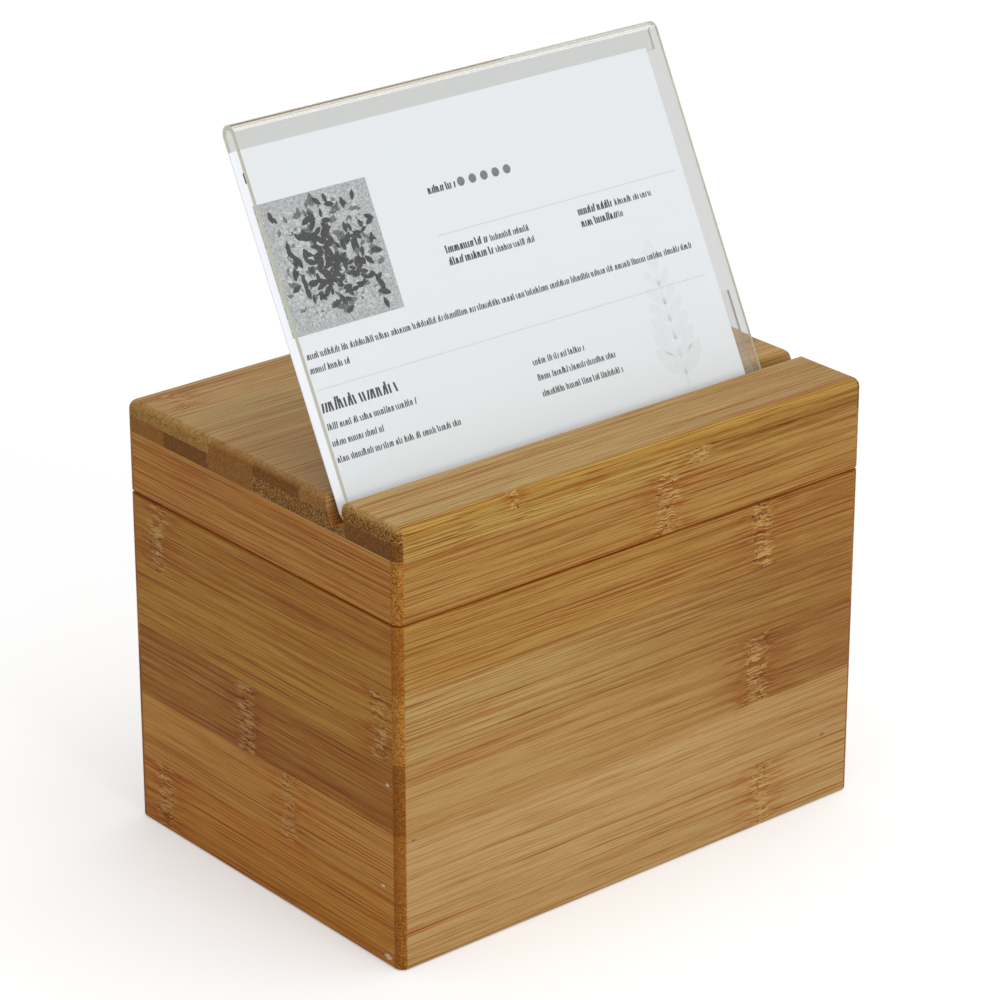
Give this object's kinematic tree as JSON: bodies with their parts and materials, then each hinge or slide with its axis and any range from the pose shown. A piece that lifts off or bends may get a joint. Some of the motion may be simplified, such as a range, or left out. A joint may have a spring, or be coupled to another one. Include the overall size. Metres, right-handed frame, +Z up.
{
  "type": "recipe card box",
  "caption": "Pressed-bamboo box for recipe cards with a hinged lid; a leaning slot across the lid holds a bent clear stand that keeps one card up to be read.",
  "frame": {"origin": "middle of the foot, where the box rests", "axes": "+Z up, X along the width with the slot, +Y from the front face to the hinged back"},
  "size_m": [0.178, 0.128, 0.2329],
  "materials": {
    "bamboo_front": "satin lacquer over flat-pressed bamboo strips",
    "bamboo_side": "satin lacquer over flat-pressed bamboo strips",
    "bamboo_top": "satin lacquer over two layers of bamboo strips",
    "bamboo_bottom": "sanded, thin lacquer",
    "hinge_brass": "plated, lightly tumbled",
    "screw_brass": "plated",
    "clear_acrylic": "polished clear sheet, tinted where seen on edge",
    "printed_card": "uncoated white card, printed on the front"
  },
  "bodies": {
    "box": {"front_panel": "bamboo_front", "back_panel": "bamboo_front", "left_panel": "bamboo_side", "right_panel": "bamboo_side", "bottom_panel": "bamboo_bottom", "hinge_leaf_box_left": "hinge_brass", "hinge_leaf_box_right": "hinge_brass", "hinge_pin_left": "hinge_brass", "hinge_pin_right": "hinge_brass", "hinge_screws_box": "screw_brass"},
    "lid": {"lid_front_rail": "bamboo_front", "lid_back_rail": "bamboo_front", "lid_left_rail": "bamboo_side", "lid_right_rail": "bamboo_side", "lid_top_panel": "bamboo_top", "hinge_leaf_lid_left": "hinge_brass", "hinge_leaf_lid_right": "hinge_brass", "hinge_screws_lid": "screw_brass"},
    "holder": {"card_holder": "clear_acrylic"},
    "card": {"recipe_card": "printed_card"}
  },
  "joints": [
    {"name": "lid_hinge", "type": "hinge", "parent": "box", "child": "lid", "pos_m": [0, 0.0626, 0.108], "axis": [-1, 0, 0], "range_deg": [0, 110]},
    {"name": "holder_lift", "type": "slide", "parent": "lid", "child": "holder", "axis": [0, 0.4571, 0.8894], "range_m": [0, 0.015]},
    {"name": "card_slide", "type": "slide", "parent": "holder", "child": "card", "axis": [1, 0, 0], "range_m": [-0.156, 0.156]}
  ]
}
